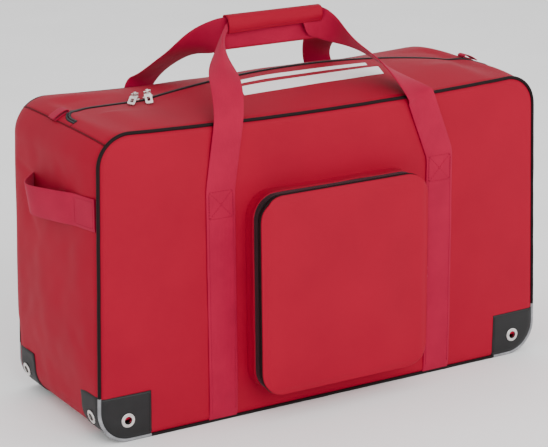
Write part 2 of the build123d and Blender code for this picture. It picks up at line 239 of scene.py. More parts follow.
def edge_height(x):
    """Height of the seam along the top of the front and back panels."""
    corner = CORNER_Z + np.sqrt(np.maximum(RADIUS ** 2 - (np.abs(x) - CORNER_X) ** 2, 0))
    return np.where(np.abs(x) > CORNER_X, corner, HEIGHT - sag(x))


def ridge(x):
    """Height of the zip line."""
    arc = RIDGE_TOP - RIDGE_RADIUS + np.sqrt(np.maximum(RIDGE_RADIUS ** 2 - (x - RIDGE_X) ** 2, 0))
    flat = np.where(np.abs(x - RIDGE_X) < RIDGE_END, arc, HEIGHT)
    return np.where(np.abs(x) > CORNER_X, edge_height(x), flat)


def crown(x, y):
    """Height of the top, highest along the zip, a little full between the zip and each long edge."""
    span = np.where(y < RIDGE_Y, RIDGE_Y + HALF_DEPTH, HALF_DEPTH - RIDGE_Y)
    rise = 1 - np.abs(y - RIDGE_Y) / span
    full = 0.0035 * np.sin(math.pi * np.clip(rise, 0, 1)) * (1 - smooth(0.30, 0.37, np.abs(x)))
    soft = 0.0012 * ripple(x, y, 0.16, 5) * smooth(0, 0.12, rise) * smooth(0.004, 0.030, np.abs(y - RIDGE_Y))
    return edge_height(x) + (ridge(x) - edge_height(x)) * rise + full + soft


def edge_distance(x, z):
    """How far a point of the front view is inside the outline."""
    side = (straight_wall(z) - np.abs(x)) * math.cos(TAPER)
    straight = np.minimum(side, np.minimum(z - FOOT, edge_height(x) - z))
    low = RADIUS - np.hypot(np.abs(x) - BASE_X, z - BASE_Z)
    high = RADIUS - np.hypot(np.abs(x) - CORNER_X, z - CORNER_Z)
    value = np.where((np.abs(x) > BASE_X) & (z < BASE_Z), low, straight)
    return np.where((np.abs(x) > CORNER_X) & (z > CORNER_Z), high, value)


def face_out(x, z, seed):
    """How far out the front or back panel lies: padded, and turned in to its seam all round."""
    inside = edge_distance(x, z)
    full = 0.0014 * smooth(0.0, 0.12, inside)
    turned = 0.0040 * (1 - smooth(0.0, 0.011, inside)) ** 1.5
    uneven = 0.0006 * ripple(x, z, 0.19, seed) + 0.00025 * ripple(x, z, 0.05, seed + 1)
    return HALF_DEPTH + full - turned + uneven * smooth(0.004, 0.05, inside)


def zip_distance(x, y):
    """How far a point of the top is from the middle of the zip, in plan."""
    over = np.abs(x) - (ZIP_HALF - ZIP_CORNER)
    back = y - (RIDGE_Y - ZIP_CORNER)
    outside = np.hypot(np.maximum(over, 0), np.maximum(back, 0))
    return np.abs(outside + np.minimum(np.maximum(over, back), 0) - ZIP_CORNER)


def swell(points):
    """Points of the ends and of the top, pushed out by what the bag holds, but not along the zip."""
    x, y, z = points[..., 0], points[..., 1], points[..., 2]
    over, up = np.abs(x) - CORNER_X, z - CORNER_Z
    turn = np.arctan2(np.maximum(over, 1e-9), np.maximum(up, 1e-9))
    turn = np.where(up <= 0, math.pi / 2, np.where(over <= 0, 0, turn))
    share = np.minimum(np.abs(y) / GUSSET, 1)
    amount = SWELL * np.where(y > 0, (1 - share ** 6) ** 0.6, 1 - share ** 2.6)
    amount = amount * smooth(0.045, 0.15, z) * smooth(0.22, 0.37, np.abs(x))
    amount = amount * (0.45 + 0.55 * np.sin(turn) ** 2)
    held = (1 - smooth(0.038, 0.075, zip_distance(x, y))) * (1 - smooth(0.0, 0.5, turn))
    amount = amount * (1 - held)
    out = points.copy()
    out[..., 0] = x + np.sign(x) * np.sin(turn) * amount
    out[..., 2] = z + np.cos(turn) * amount
    return out


def end_profile(steps_wall=84):
    """The end fabric seen from the front: from under the base edge up to the slanting top seam."""
    low = np.linspace(-math.pi / 2, -TAPER, 16)
    high = np.linspace(-TAPER, SEAM_TURN, 12)
    bottom = [(BASE_X + RADIUS * math.cos(t), BASE_Z + RADIUS * math.sin(t)) for t in low]
    top = [(CORNER_X + RADIUS * math.cos(t), CORNER_Z + RADIUS * math.sin(t)) for t in high]
    wall = [(bottom[-1][0] + (top[0][0] - bottom[-1][0]) * i / steps_wall,
             bottom[-1][1] + (top[0][1] - bottom[-1][1]) * i / steps_wall) for i in range(1, steps_wall)]
    return np.array(bottom + wall + top)


# ---------------------------------------------------------------- meshes

class Piece:
    """Gathers grids of points, with UVs in metres, and makes one object of them."""

    def __init__(self):
        self.points, self.faces, self.uvs, self.count = [], [], [], 0

    def grid(self, points, uv=None, around=False, keep=None, turn=False):
        """Quads through rows of points. around closes each row, keep says which quads stay, and
        turn makes them face the other way."""
        rows, cols = points.shape[:2]
        if uv is None:
            middle = points[rows // 2]
            over = lengths(middle)
            if around:
                over = np.append(over, over[-1] + np.linalg.norm(middle[0] - middle[-1]))
            uv = join(*np.meshgrid(over, lengths(points[:, cols // 2])))
        index = np.arange(rows * cols).reshape(rows, cols) + self.count
        if around:
            index = np.hstack([index, index[:, :1]])
        corners = [index[:-1, :-1], index[:-1, 1:], index[1:, 1:], index[1:, :-1]]
        marks = [uv[:-1, :-1], uv[:-1, 1:], uv[1:, 1:], uv[1:, :-1]]
        if turn:
            corners, marks = corners[::-1], marks[::-1]
        quads = np.stack(corners, axis=-1).reshape(-1, 4)
        quad_uvs = np.stack(marks, axis=2).reshape(-1, 4, 2)
        if keep is not None:
            quads, quad_uvs = quads[keep.reshape(-1)], quad_uvs[keep.reshape(-1)]
        self.points.append(points.reshape(-1, 3))
        self.faces.append(quads)
        self.uvs.append(quad_uvs)
        self.count += rows * cols

    def close_ends(self, rows, share):
        """Close both ends of a tube of rows with rings, the inner one this share of the outer."""
        for row, turn in ((rows[:1], True), (rows[-1:], False)):
            middle = np.repeat(row.mean(axis=1, keepdims=True), row.shape[1], axis=1)
            inner = row * share + middle * (1 - share)
            self.grid(np.concatenate([row, inner]), around=True, turn=turn)

    def punch(self, places):
        """Eyelet holes: faces inside go, and the points left inside move out to the rim."""
        points, faces, uvs = (np.concatenate(x) for x in (self.points, self.faces, self.uvs))
        for centre, normal in places:
            away = points - np.array(centre)
            height = away @ np.array(normal)
            flat = away - height[:, None] * np.array(normal)
            reach = np.linalg.norm(flat, axis=1)
            inside = (reach < EYELET_HOLE) & (np.abs(height) < 0.012)    # this wall, not the one opposite
            gone = inside[faces].all(axis=1)
            faces, uvs = faces[~gone], uvs[~gone]
            grow = EYELET_HOLE / np.maximum(reach, 1e-6) - 1
            points[inside] += (flat * grow[:, None])[inside]
        self.points, self.faces, self.uvs = [points], [faces], [uvs]

    def make(self, name, material, thick=0.0, weld=False):
        """One smooth-shaded object, made thick inwards, its touching points welded if asked."""
        points, faces, uvs = (np.concatenate(x) for x in (self.points, self.faces, self.uvs))
        used = np.unique(faces)
        renumber = np.zeros(len(points), int)
        renumber[used] = np.arange(len(used))
        mesh = bpy.data.meshes.new(name)
        mesh.from_pydata(points[used].tolist(), [], renumber[faces].tolist())
        layer = mesh.uv_layers.new(name="UVMap")
        layer.data.foreach_set("uv", uvs.reshape(-1).astype(np.float32))
        if weld:
            joined = bmesh.new()
            joined.from_mesh(mesh)
            bmesh.ops.remove_doubles(joined, verts=joined.verts, dist=1e-6)
            joined.to_mesh(mesh)
            joined.free()
        mesh.shade_smooth()
        mesh.materials.append(material)
        obj = add_object(name, mesh)
        if thick:
            solid = obj.modifiers.new("thick", "SOLIDIFY")
            solid.thickness = thick
            solid.offset = -1
            solid.use_rim = True
            apply_modifiers(obj)
        return obj


def add_object(name, data):
    """A new object in the scene."""
    obj = bpy.data.objects.new(name, data)
    bpy.context.scene.collection.objects.link(obj)
    return obj


def apply_modifiers(obj):
    """Replace an object's mesh by what its modifiers make of it."""
    graph = bpy.context.evaluated_depsgraph_get()
    done = bpy.data.meshes.new_from_object(obj.evaluated_get(graph))
    obj.modifiers.clear()
    old = obj.data
    obj.data = done
    bpy.data.meshes.remove(old)
    done.name = obj.name


def band_section(width, thick):
    """Closed outline of flat webbing as (across, out), with rounded edges."""
    r = thick / 2
    flat = np.linspace(-width / 2 + r, width / 2 - r, 9)
    turn = np.linspace(math.pi / 2, -math.pi / 2, 5)[1:-1]
    top = [(a, r) for a in flat]
    right = [(flat[-1] + r * math.cos(t), r * math.sin(t)) for t in turn]
    bottom = [(a, -r) for a in flat[::-1]]
    left = [(flat[0] - r * math.cos(t), -r * math.sin(t)) for t in turn]
    return np.array(top + right + bottom + left)


def webbing(piece, centres, wides, width=STRAP, thick=STRAP_THICK, folds=None):
    """Flat webbing along centres, wide along wides. Where folds is given, it is folded lengthwise by
    that angle, and gathered narrower with it."""
    runs = directions(centres)
    wides = unit(wides - runs * np.sum(wides * runs, axis=1, keepdims=True))
    normals = unit(np.cross(runs, wides))
    section = band_section(width, thick)
    fold = np.zeros((len(centres), 1)) if folds is None else folds[:, None]
    across, out = section[None, :, 0] * (0.42 + 0.58 * np.cos(fold)), section[None, :, 1]
    bend = 0.003                                  # how gently it turns at the fold
    away = np.sqrt(across ** 2 + bend ** 2)
    aside = across * np.cos(fold) + out * across / away * np.sin(fold)
    lift = out * np.cos(fold) - (away - bend) * np.sin(fold)    # both halves to the same side
    points = centres[:, None] + wides[:, None] * aside[..., None] + normals[:, None] * lift[..., None]
    over = np.append(section[:, 0], section[0, 0]) + width / 2
    piece.grid(points, join(over, lengths(centres)[:, None]), around=True)
    piece.close_ends(points, 0.02)


def tube(piece, points, radius, normal=(0, 1, 0), sides=12, closed=False, flat=1.0):
    """Round tube along points; flat stretches it across the normal."""
    runs = directions(points, closed)
    normal = np.broadcast_to(np.array(normal, float), points.shape)
    first = unit(normal - runs * np.sum(normal * runs, axis=1, keepdims=True))
    second = np.cross(runs, first)
    turn = np.linspace(0, 2 * math.pi, sides, endpoint=False)
    ring = first[:, None] * np.cos(turn)[None, :, None] \
        + second[:, None] * (flat * np.sin(turn))[None, :, None]
    rows = points[:, None] + ring * radius
    if closed:
        piece.grid(np.concatenate([rows, rows[:1]]), around=True)
    else:
        piece.grid(rows, around=True)
        piece.close_ends(rows, 0.05)


def stitches(piece, path, normal, length=0.0034, gap=0.0013, thread=0.00042):
    """A row of thread stitches lying on a surface."""
    middles, runs = resample(path, length + gap)
    normals = np.broadcast_to(np.array(normal, float), middles.shape)
    sides = np.cross(runs, normals)
    turn = np.linspace(0, 2 * math.pi, 5, endpoint=False)
    for middle, run, out, side in zip(middles, runs, normals, sides):
        rows = []
        for step, size, lift in ((-0.5, 0.35, -0.7), (-0.28, 1, 0.5), (0.28, 1, 0.5), (0.5, 0.35, -0.7)):
            centre = middle + run * length * step + out * thread * lift
            rows.append(centre + (side * np.cos(turn)[:, None] + out * np.sin(turn)[:, None]) * thread * size)
        piece.grid(np.array(rows), around=True)


def zip_teeth(piece, path, normals, inward, pitch=0.0017, tall=1.0):
    """One half of a coil: slanting bars along a path, reaching inward to the zip's middle."""
    along = lengths(path)
    count = int(along[-1] / pitch)
    wanted = (np.arange(count) + 0.5) * along[-1] / count
    middles, outs, ins = (follow(rows, along, wanted) for rows in (path, normals, inward))
    outs, ins = unit(outs), unit(ins)
    runs = directions(middles)
    turn = np.linspace(0, 2 * math.pi, 6, endpoint=False)
    for middle, run, out, side in zip(middles, runs, outs, ins):
        bar = side + run * 0.22
        rows = []
        for step, size in ((-0.5, 0.55), (-0.42, 1.0), (0.30, 1.0), (0.47, 1.25), (0.56, 0.6)):
            centre = middle + bar * COIL * step
            ring = run * np.cos(turn)[:, None] * 0.95 + out * np.sin(turn)[:, None] * tall
            rows.append(centre + ring * 0.00066 * size)
        piece.grid(np.array(rows), around=True)


# ---------------------------------------------------------------- materials

class Paint:
    """A node material under construction."""

    def __init__(self, name, roughness, metallic=0.0, specular=0.5):
        self.material = bpy.data.materials.new(name)
        self.material.use_nodes = True
        self.nodes = self.material.node_tree.nodes
        self.links = self.material.node_tree.links
        self.shader = self.nodes["Principled BSDF"]
        self.shader.inputs["Roughness"].default_value = roughness
        self.shader.inputs["Metallic"].default_value = metallic
        self.shader.inputs["Specular IOR Level"].default_value = specular

    def node(self, kind, **values):
        made = self.nodes.new(kind)
        for key, value in values.items():
            if hasattr(made, key):
                setattr(made, key, value)
            else:
                made.inputs[key.replace("_", " ")].default_value = value
        return made

    def link(self, source, target):
        self.links.new(source, target)

    def maths(self, operation, a, b):
        made = self.node("ShaderNodeMath", operation=operation)
        for socket, value in zip(made.inputs, (a, b)):
            if isinstance(value, (int, float)):
                socket.default_value = value
            else:
                self.link(value, socket)
        return made.outputs[0]

    def coordinates(self, space="Object"):
        return self.node("ShaderNodeTexCoord").outputs[space]

    def noise(self, scale, detail, stretch=None):
        source = self.coordinates()
        if stretch:
            mapping = self.node("ShaderNodeMapping")
            mapping.inputs["Scale"].default_value = stretch
            self.link(source, mapping.inputs["Vector"])
            source = mapping.outputs[0]
        made = self.node("ShaderNodeTexNoise", Scale=scale, Detail=detail)
        self.link(source, made.inputs["Vector"])
        return made.outputs["Fac"]

    def waves(self, pitch, direction, tilt=0.0):
        """Threads at this pitch along one way of the UVs."""
        mapping = self.node("ShaderNodeMapping")
        mapping.inputs["Rotation"].default_value = (0, 0, tilt)
        self.link(self.coordinates("UV"), mapping.inputs["Vector"])
        made = self.node("ShaderNodeTexWave", bands_direction=direction, wave_profile="SIN",
                         Scale=1 / pitch / 10 * math.pi)
        self.link(mapping.outputs[0], made.inputs["Vector"])
        return made.outputs["Fac"]

    def colour(self, factor, *stops):
        """A colour ramp through stops of (place, colour)."""
        ramp = self.node("ShaderNodeValToRGB")
        while len(ramp.color_ramp.elements) < len(stops):
            ramp.color_ramp.elements.new(0.5)
        for element, (place, shade) in zip(ramp.color_ramp.elements, stops):
            element.position = place
            element.color = (*shade, 1)
        self.link(factor, ramp.inputs[0])
        return ramp.outputs[0]

    def mix(self, factor, a, b):
        made = self.node("ShaderNodeMix", data_type="RGBA")
        for socket, value in ((made.inputs[0], factor), (made.inputs[6], a), (made.inputs[7], b)):
            if isinstance(value, (int, float)):
                socket.default_value = value
            elif isinstance(value, tuple):
                socket.default_value = (*value, 1)
            else:
                self.link(value, socket)
        return made.outputs[2]

    def bump(self, height, distance, strength):
        made = self.node("ShaderNodeBump", Strength=strength, Distance=distance)
        self.link(height, made.inputs["Height"])
        return made.outputs[0]

    def finish(self, colour, normal=None, roughness=None):
        self.link(colour, self.shader.inputs["Base Color"])
        if normal is not None:
            self.link(normal, self.shader.inputs["Normal"])
        if roughness is not None:
            self.link(roughness, self.shader.inputs["Roughness"])
        return self.material


def shade(colour, amount):
    return tuple(min(1.0, c * amount) for c in colour)


RED = (0.265, 0.0008, 0.0165)
WEBBING_RED = (0.300, 0.0012, 0.0280)
BLACK = (0.0055, 0.0045, 0.0050)


def woven(name, colour, pitch=0.0009, sheen=0.02, roughness=0.62, depth=0.00012):
    """Coated polyester cloth: fine plain weave, faint mottling and a soft sheen."""
    paint = Paint(name, roughness, specular=0.10)
    paint.shader.inputs["Sheen Weight"].default_value = sheen
    paint.shader.inputs["Sheen Roughness"].default_value = 0.45
    glow = (1.0, 0.55, 0.60, 1) if colour[0] > 0.1 else (0.6, 0.6, 0.6, 1)
    paint.shader.inputs["Sheen Tint"].default_value = glow
    warp, weft = paint.waves(pitch, "X"), paint.waves(pitch, "Y")
    threads = paint.maths("MULTIPLY", warp, weft)
    mottle = paint.noise(9.0, 4.0)
    cloud = paint.noise(2.2, 2.0)
    base = paint.colour(mottle, (0.30, shade(colour, 0.93)), (0.70, shade(colour, 1.06)))
    base = paint.mix(paint.maths("MULTIPLY", cloud, 0.22), base, shade(colour, 1.12))
    base = paint.mix(paint.maths("MULTIPLY", threads, 0.30), base, shade(colour, 0.74))
    fibre = paint.noise(900.0, 2.0)
    normal = paint.bump(paint.maths("ADD", threads, paint.maths("MULTIPLY", fibre, 0.35)), depth, 0.55)
    rough = paint.maths("ADD", paint.maths("MULTIPLY", mottle, 0.16), roughness - 0.08)
    return paint.finish(base, normal, rough)


def ribbed(name, colour, pitch=0.0016, sheen=0.08):
    """Polyester webbing: chevron rows of heavy yarn with fine ribs across."""
    paint = Paint(name, 0.70, specular=0.12)
    paint.shader.inputs["Sheen Weight"].default_value = sheen
    paint.shader.inputs["Sheen Roughness"].default_value = 0.5
    paint.shader.inputs["Sheen Tint"].default_value = (1.0, 0.50, 0.60, 1)
    rows = paint.waves(pitch, "Y")
    columns = paint.waves(pitch * 1.5, "X")
    slant = paint.waves(pitch * 1.3, "X", 0.7)
    yarn = paint.maths("ADD", paint.maths("MULTIPLY", rows, columns), paint.maths("MULTIPLY", slant, 0.45))
    mottle = paint.noise(30.0, 3.0)
    base = paint.colour(mottle, (0.30, shade(colour, 0.92)), (0.70, shade(colour, 1.08)))
    base = paint.mix(paint.maths("MULTIPLY", yarn, 0.28), base, shade(colour, 0.70))
    normal = paint.bump(yarn, 0.00030, 0.6)
    return paint.finish(base, normal)


def grained(name, colour, roughness=0.42, specular=0.3):
    """Embossed vinyl: small pebbled grain, scuffed a little paler on the high spots."""
    paint = Paint(name, roughness, specular=specular)
    cells = paint.node("ShaderNodeTexVoronoi", feature="DISTANCE_TO_EDGE", Scale=620.0)
    paint.link(paint.coordinates(), cells.inputs["Vector"])
    scuff = paint.noise(55.0, 6.0)
    base = paint.colour(scuff, (0.35, shade(colour, 0.85)), (0.62, shade(colour, 1.25)),
                        (0.78, shade(colour, 2.2)))
    grain = paint.maths("MULTIPLY", cells.outputs["Distance"], 2.2)
    normal = paint.bump(grain, 0.00022, 0.55)
    rough = paint.maths("ADD", paint.maths("MULTIPLY", scuff, 0.30), roughness - 0.12)
    return paint.finish(base, normal, rough)


def metal(name, colour, roughness=0.24):
    """Plated metal with fine scratches and small dull spots."""
    paint = Paint(name, roughness, metallic=1.0)
    scratch = paint.noise(420.0, 3.0, (1.0, 6.0, 1.0))
    dull = paint.noise(160.0, 4.0)
    base = paint.colour(dull, (0.35, shade(colour, 0.80)), (0.65, shade(colour, 1.05)))
    rough = paint.maths("ADD", paint.maths("MULTIPLY", dull, 0.28), roughness - 0.10)
    normal = paint.bump(scratch, 0.00004, 0.35)
    return paint.finish(base, normal, rough)


def coil_plastic(name, colour):
    """Nylon zip coil."""
    paint = Paint(name, 0.38, specular=0.5)
    tone = paint.noise(260.0, 2.0)
    base = paint.colour(tone, (0.3, shade(colour, 0.8)), (0.7, shade(colour, 1.5)))
    normal = paint.bump(paint.noise(1500.0, 2.0), 0.00005, 0.4)
    return paint.finish(base, normal)


def printed(name):
    """White screen print, with the cloth's weave showing through faintly."""
    paint = Paint(name, 0.5, specular=0.4)
    threads = paint.maths("MULTIPLY", paint.waves(0.0009, "X"), paint.waves(0.0009, "Y"))
    base = paint.colour(threads, (0.2, (0.86, 0.84, 0.84)), (0.9, (0.74, 0.68, 0.69)))
    return paint.finish(base, paint.bump(threads, 0.00008, 0.4))


def board(name):
    """Grey-brown pressed stiffening board."""
    paint = Paint(name, 0.8)
    fleck = paint.noise(240.0, 6.0)
    base = paint.colour(fleck, (0.35, (0.030, 0.028, 0.027)), (0.65, (0.065, 0.060, 0.056)))
    return paint.finish(base, paint.bump(fleck, 0.0003, 0.5))


FABRIC = woven("bag_fabric", RED)
LINING = woven("wrap_fabric", shade(RED, 0.96), pitch=0.0011)
BASE_FABRIC = woven("base_fabric", BLACK, sheen=0.1, roughness=0.7, pitch=0.0012, depth=0.0002)
WEBBING = ribbed("webbing", WEBBING_RED)
# painted shade: red darkened to 0.38 stands for the shadow in the groove of the slanting seams, on the seam tubes
SEAM_SHADE = ribbed("seam_painted_shade", shade(RED, 0.38), pitch=0.0008, sheen=0.0)
THREAD = ribbed("thread", shade(WEBBING_RED, 0.80), pitch=0.0006)
DARK_THREAD = ribbed("dark_thread", (0.012, 0.011, 0.012), pitch=0.0006, sheen=0.1)
VINYL = grained("corner_vinyl", (0.0055, 0.0055, 0.0060))
END_VINYL = grained("corner_vinyl_soft", (0.0080, 0.0075, 0.0080), roughness=0.55)
PIPING = grained("black_piping", (0.0040, 0.0004, 0.0007), roughness=0.55, specular=0.15)
GREY_PIPING = grained("grey_piping", (0.19, 0.19, 0.20), roughness=0.5)
BINDING = ribbed("binding_tape", (0.010, 0.009, 0.010), pitch=0.0010, sheen=0.1)
DARK_TAPE = ribbed("zip_tape_dark", (0.010, 0.006, 0.007), pitch=0.0008, sheen=0.1)
ZIP_COIL = coil_plastic("zip_coil", (0.010, 0.009, 0.010))
ZIP_METAL = metal("zip_metal", (0.72, 0.66, 0.64))
SMALL_METAL = woven("small_zip_metal", shade(RED, 0.9), sheen=0.0, roughness=0.35)
EYELET_METAL = metal("eyelet_metal", (0.70, 0.68, 0.66), 0.30)
PRINT = printed("white_print")
BOARD = board("base_board")


def place(obj, body, slot, *nodes):
    """A finished piece rides on a body and stands for its CAD nodes."""
    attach(obj, body)
    if nodes:
        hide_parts(*nodes)
    return obj


# ---------------------------------------------------------------- front and back

def eyelet_places(fabric, sides=(-1, 1), faces=(-1, 1)):
    """Centre and outward direction of each eyelet in the "face" or the "end" fabric."""
    turn = END_EYELET_DROP
    places = []
    for side in sides:
        for face in faces:
            if fabric == "face":
                places.append(((side * EYELET_X, face * HALF_DEPTH, EYELET_Z), (0, face, 0)))
            else:
                x, z = BASE_X + RADIUS * math.cos(turn), BASE_Z - RADIUS * math.sin(turn)
                out = (side * math.cos(turn), 0, -math.sin(turn))
                places.append(((side * x, face * END_EYELET_Y, z), out))
    return places


def panel_rows():
    """Heights of the rows of a front or back panel, closer together round the corners."""
    low = [BASE_Z - RADIUS * math.cos(t) for t in np.linspace(0.12, math.pi / 2, 14)[:-1]]
    high = [CORNER_Z + RADIUS * math.sin(t) for t in np.linspace(0, math.pi / 2 - 0.12, 14)]
    return np.array(low + list(np.linspace(BASE_Z, CORNER_Z, 92)[:-1]) + high)


def panel_grid(heights, columns):
    """Points (x, z) over the front view, with the sag of its top edge."""
    z = heights[:, None]
    x = wall_reach(z) * np.linspace(-1, 1, columns)
    return x, z - sag(x) * ((z - FOOT) / (HEIGHT - FOOT)) ** 3


def face_panels():
    """The padded fabric of the front and the back."""
    x, z = panel_grid(panel_rows(), 190)
    for face, name in FACES:
        y = face * face_out(x, z, PANEL_SEEDS[face])
        piece = Piece()
        piece.grid(join(x, y, z), join(x, z), turn=face > 0)
        piece.punch(eyelet_places("face", faces=(face,)))
        place(piece.make(f"{name}_fabric", FABRIC, PANEL), "bag", "bag_fabric", f"{name}_panel")


# ---------------------------------------------------------------- ends and top

def end_creases(y, z):
    """Pulls in the end fabric from both ends of the grab handle, and at the corners."""
    pulls = (                                     # depth, start, end, width
        (0.0012, (-0.100, 0.378), (-0.035, 0.418), 0.010),
        (0.0016, (0.115, 0.392), (0.050, 0.378), 0.007),
        (0.0014, (-0.115, 0.340), (-0.060, 0.285), 0.012),
        (0.0012, (0.085, 0.330), (0.030, 0.285), 0.012),
        (0.0012, (-0.135, 0.120), (-0.070, 0.175), 0.012),
        (0.0012, (0.135, 0.110), (0.080, 0.160), 0.012),
    )
    return sum(depth * crease(y, z, start, end, width) for depth, start, end, width in pulls)


def end_panels():
    """The end fabric, from the base edge up round the top corner to the slanting seam."""
    profile = end_profile()
    x, z = profile[:, :1], profile[:, 1:]
    y = np.linspace(-GUSSET, GUSSET, 74)[None, :]
    inside = GUSSET - np.abs(y)
    turned = dip(*END_TURN, inside)
    hold = smooth(0, 0.03, inside) * smooth(0.0, 0.06, z) * (1 - smooth(0.42, 0.46, z))
    for (side, name), seed in zip(SIDES, (31, 43)):
        soft = 0.0016 * ripple(y, z, 0.15, seed) + 0.0005 * ripple(y, z, 0.05, seed + 1)
        out = x - turned + soft * hold - end_creases(y, z)
        piece = Piece()
        piece.grid(swell(join(side * out, y, z)), join(y, lengths(profile)[:, None]), turn=side < 0)
        piece.punch(eyelet_places("end", sides=(side,)))
        place(piece.make(f"end_fabric_{name}", FABRIC, PANEL), "bag", "bag_fabric", f"end_panel_{name}")


def top_columns():
    """Places along the top where its grid has columns, with the round ends by angle."""
    turns = np.linspace(0, SEAM_TURN, 9)[1:]
    ends = CORNER_X + RADIUS * np.sin(turns)
    sides = np.radians([45, 58, 68, 76, 82, 87, 90])
    bends = [ZIP_HALF - ZIP_CORNER + (ZIP_CORNER + reach) * np.sin(sides) for reach in (-ZIP_GAP, 0, ZIP_GAP)]
    right = np.concatenate([ends, *bends])
    middle = np.linspace(-CORNER_X, CORNER_X, 150)
    return np.unique(np.round(np.concatenate([-right, middle, right]), 6))


def zip_line(x, offset=0.0):
    """Depth of the zip at a place along it; offset moves outwards from the middle of the zip."""
    radius = ZIP_CORNER + offset
    over = np.clip(np.abs(x) - (ZIP_HALF - ZIP_CORNER), 0, radius)
    return RIDGE_Y - ZIP_CORNER + np.sqrt(np.maximum(radius ** 2 - over ** 2, 0))


def top_point(x, y, lift=0.0):
    """A point of the top's outer surface, with its ends pushed out like the rest."""
    return swell(join(x, y, crown(x, y) + lift))


def bend_at_fold(obj):
    """Bakes the object's placing into its points."""
    z = float(crown(0.0, HINGE_Y))
    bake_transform(obj)


def top_front(rows_strip=30, rows_flap=20):
    """The top in front of the zip: the fixed strip and the flap, as one cloth."""
    x = top_columns()
    side_edge = ZIP_HALF - ZIP_GAP
    beyond = np.abs(x) > side_edge + 1e-5
    limit = np.where(beyond, HINGE_Y, zip_line(np.clip(x, -side_edge, side_edge), -ZIP_GAP))
    edge = -GUSSET - SEAM_LAP
    strip = edge + (HINGE_Y - edge) * np.linspace(0, 1, rows_strip)[:, None] + 0 * x
    flap = HINGE_Y + (limit - HINGE_Y) * np.linspace(0, 1, rows_flap + 1)[1:, None]
    y = np.concatenate([strip, flap])
    points = top_point(x, y)
    points[..., 2] -= dip(*TOP_TURN, y + GUSSET) + dip(0.0006, 0.004, np.abs(limit - y))
    keep = np.ones((len(y) - 1, len(x) - 1), bool)
    keep[rows_strip - 1:, :] = ~(beyond[:-1] | beyond[1:])
    piece = Piece()
    piece.grid(points, join(x, y), keep=keep)
    obj = piece.make("top_front_fabric", FABRIC, PANEL)
    bend_at_fold(obj)
    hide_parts("top_front_strip", "top_flap")


def top_back(rows=34):
    """The top behind the zip."""
    x = top_columns()
    side_edge = ZIP_HALF + ZIP_GAP
    beside = np.abs(x) < side_edge - 1e-5
    start = np.where(beside, zip_line(np.clip(x, -side_edge, side_edge), ZIP_GAP), HINGE_Y)
    y = start + (GUSSET + SEAM_LAP - start) * np.linspace(0, 1, rows)[:, None]
    points = top_point(x, y)
    points[..., 2] -= dip(*TOP_TURN, GUSSET - y)
    piece = Piece()
    piece.grid(points, join(x, y))
    place(piece.make("top_back_fabric", FABRIC, PANEL), "bag", "bag_fabric", "top_back_panel")


def seam_ridges():
    """The folded edge along each slanting seam, where the top fabric meets an end, made in dark red as painted
    shade of the shadow in the seam.
    """
    y = np.linspace(-GUSSET + 0.002, GUSSET - 0.002, 90)
    for side, name in SIDES:
        piece = Piece()
        line = swell(join(side * SEAM_X, y, SEAM_Z))
        tube(piece, line, 0.0009, normal=(side, 0, 1), sides=8, flat=1.5)
        place(piece.make(f"top_seam_shaded_{name}", SEAM_SHADE), "bag", "bag_fabric")


def base():
    """The padded underside, stiff and nearly flat, rounded up to the end fabric."""
    reach, rim = BASE_X + 0.006, 0.02
    x, y = np.meshgrid(spread(BASE_X - rim, reach, 10, 60), spread(GUSSET - rim, GUSSET, 8, 30))
    near = np.minimum(reach - np.abs(x), GUSSET - np.abs(y))
    z = dip(0.0032, 0.014, near) + 0.0001
    piece = Piece()
    piece.grid(join(x, y, z), join(x, y), turn=True)
    place(piece.make("base_fabric_panel", BASE_FABRIC, 0.0052), "bag", "base_fabric", "base_panel")


# ---------------------------------------------------------------- piping

def whole_ring(right, top):
    """A ring that is the same left and right, from its right half and the point at its top."""
    return np.concatenate([right, [top], right[1:][::-1] * np.array([-1, 1])])


def outline_path(grow, corner_steps=12):
    """The front view's edge as (x, z) points, from the bottom middle round by the right."""
    radius = RADIUS + grow
    points = [(x, FOOT - grow) for x in np.linspace(0, BASE_X, 60, endpoint=False)]
    points += [(BASE_X + radius * math.cos(t), BASE_Z + radius * math.sin(t))
               for t in np.linspace(-math.pi / 2, -TAPER, corner_steps, endpoint=False)]
    points += [(float(wall_reach(z)) + grow, z)
               for z in np.linspace(points[-1][1] + 0.005, CORNER_Z, 80, endpoint=False)]
    points += [(CORNER_X + radius * math.cos(t), CORNER_Z + radius * math.sin(t))
               for t in np.linspace(0, math.pi / 2, corner_steps, endpoint=False)]
    points += [(x, float(HEIGHT - sag(x)) + grow) for x in np.linspace(CORNER_X, 0, 60, endpoint=False)]
    return whole_ring(np.array(points), (0, HEIGHT - TOP_SAG + grow))


def piping():
    """Corded piping round the front and back, black with grey lengths round the bottom corners."""
    for (face, name), tuck in zip(FACES, (0.0002, 0.0022)):
        path = outline_path(-tuck)
        grey = (np.abs(path[:, 0]) > GREY_X) & (path[:, 1] < GREY_Z)
        depth = GUSSET + 0.0029 + 0.0004 * ripple(path[:, 0], path[:, 1], 0.07, 51 + face)
        points = join(path[:, 0], face * depth, path[:, 1])
        runs = np.split(np.arange(len(path)), np.flatnonzero(np.diff(grey.astype(int))) + 1)
        runs = [np.concatenate([runs[-1], runs[0]])] + runs[1:-1]     # the path starts inside a run
        black, pale = Piece(), Piece()
        for run in runs:
            target = pale if grey[run[len(run) // 2]] else black
            run = np.append(run, (run[-1] + 1) % len(path))
            tube(target, points[run], PIPING_RADIUS)
        place(black.make(f"piping_cord_{name}", PIPING), "bag", "black_piping", f"piping_{name}")
        place(pale.make(f"piping_corner_{name}", GREY_PIPING), "bag", "grey_piping", f"corner_piping_{name}")


# ---------------------------------------------------------------- corner patches

